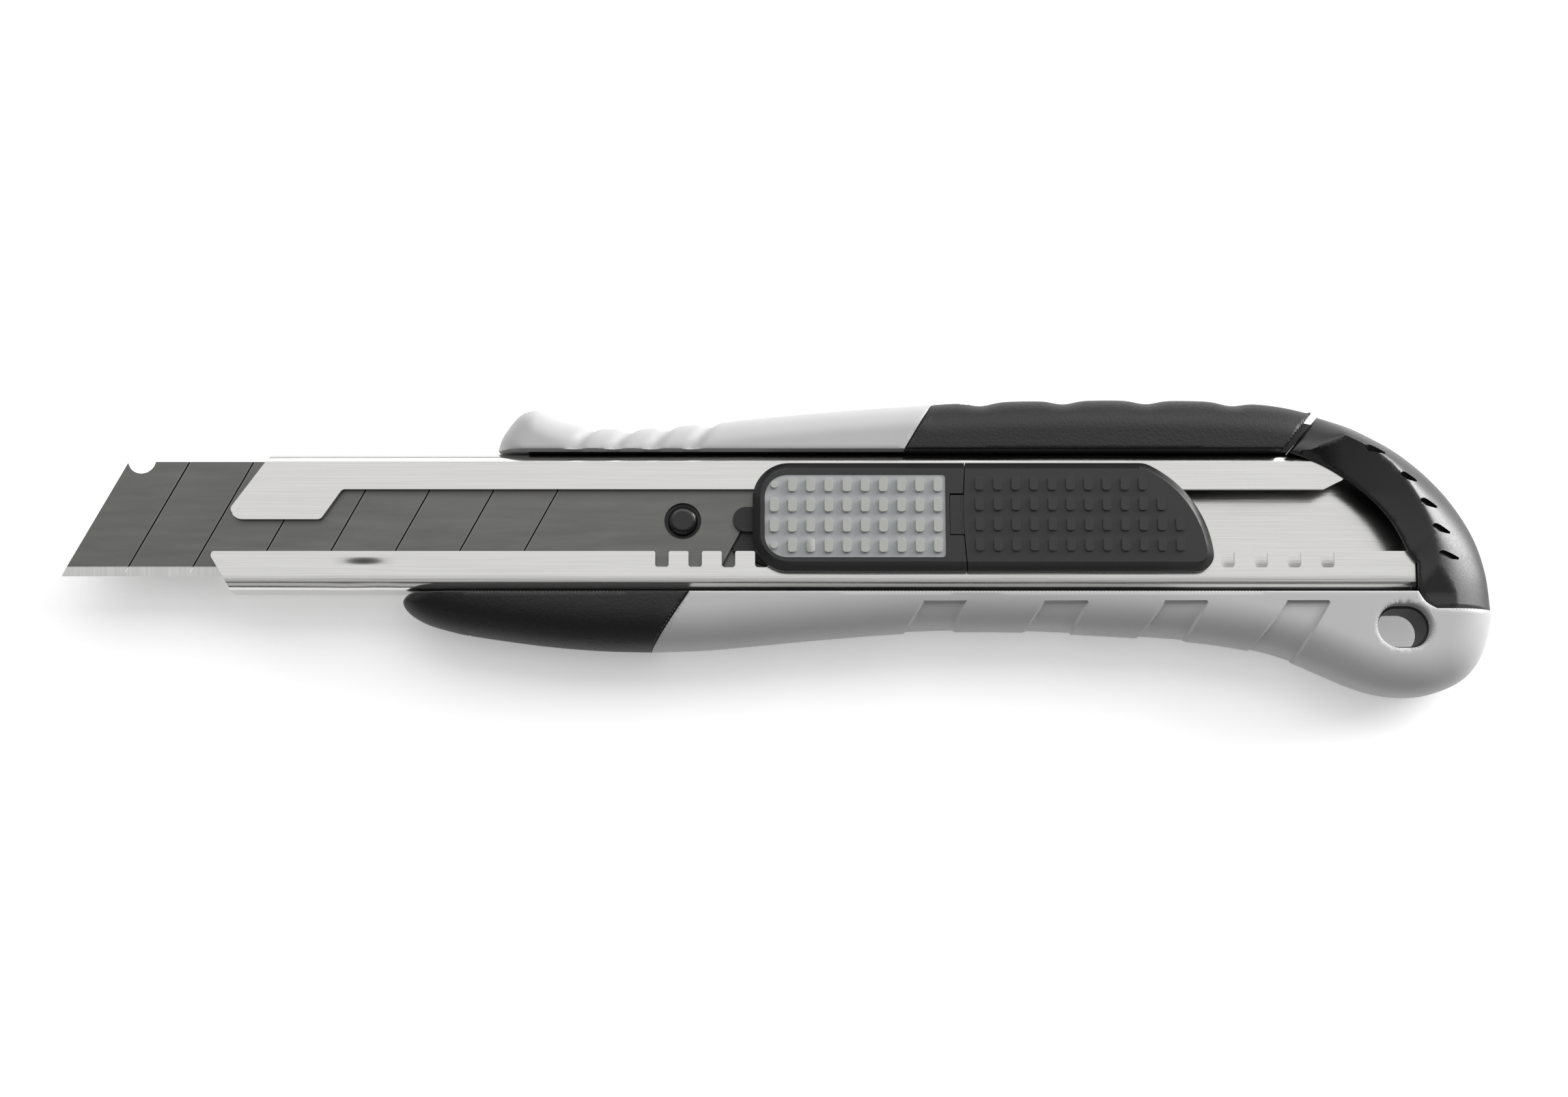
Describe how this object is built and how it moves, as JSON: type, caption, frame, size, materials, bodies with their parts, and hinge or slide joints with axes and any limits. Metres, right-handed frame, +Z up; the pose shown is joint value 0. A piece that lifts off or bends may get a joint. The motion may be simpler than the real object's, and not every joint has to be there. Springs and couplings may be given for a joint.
{
  "type": "utility knife",
  "caption": "Snap-off utility knife with a scored blade in a folded steel channel, a notched auto-lock slider, moulded grips, a lanyard hole and a pull-off end cap.",
  "frame": {"origin": "on the table, under the middle of the knife as it lies on its back", "axes": "+X from the blade tip to the end cap, +Y from the cutting edge to the spine of the blade, +Z up out of the slider"},
  "size_m": [0.2204, 0.0469, 0.0121],
  "materials": {
    "channel_steel": "satin, brushed along its length",
    "blade_steel": "blackened, ground edge",
    "spring_steel": "plain spring steel",
    "core_black": "matte",
    "grip_grey": "smooth matte",
    "grip_black": "fine leather grain",
    "cap_black": "semi-gloss",
    "slider_black": "satin",
    "pad_grey": "smooth",
    "pin_black": "satin black"
  },
  "bodies": {
    "handle": {"handle_core": "core_black", "blade_channel": "channel_steel", "thumb_rest": "grip_grey", "top_grip": "grip_black", "finger_guard": "grip_black", "lower_grip": "grip_grey", "magazine_spring": "spring_steel", "channel_rivets": "spring_steel", "spare_blade_1": "blade_steel", "spare_blade_2": "blade_steel", "spare_blade_3": "blade_steel"},
    "carrier": {"blade_carrier": "core_black", "blade_pin": "pin_black", "blade": "blade_steel", "lock_spring": "spring_steel"},
    "slider": {"slider_body": "slider_black", "slider_pad": "pad_grey", "slider_rear": "slider_black", "rear_guide": "core_black"},
    "cap": {"end_cap": "cap_black"}
  },
  "joints": [
    {"name": "blade_slide", "type": "slide", "parent": "handle", "child": "carrier", "axis": [-1, 0, 0], "range_m": [-0.02559, 0.04606], "deforming": ["lock_spring"]},
    {"name": "lock_release", "type": "slide", "parent": "carrier", "child": "slider", "axis": [-1, 0, 0], "range_m": [-0.0006, 0.0006], "stiffness_N_per_m": 400},
    {"name": "cap_pull", "type": "slide", "parent": "handle", "child": "cap", "axis": [1, 0, 0], "range_m": [0, 0.035]}
  ]
}
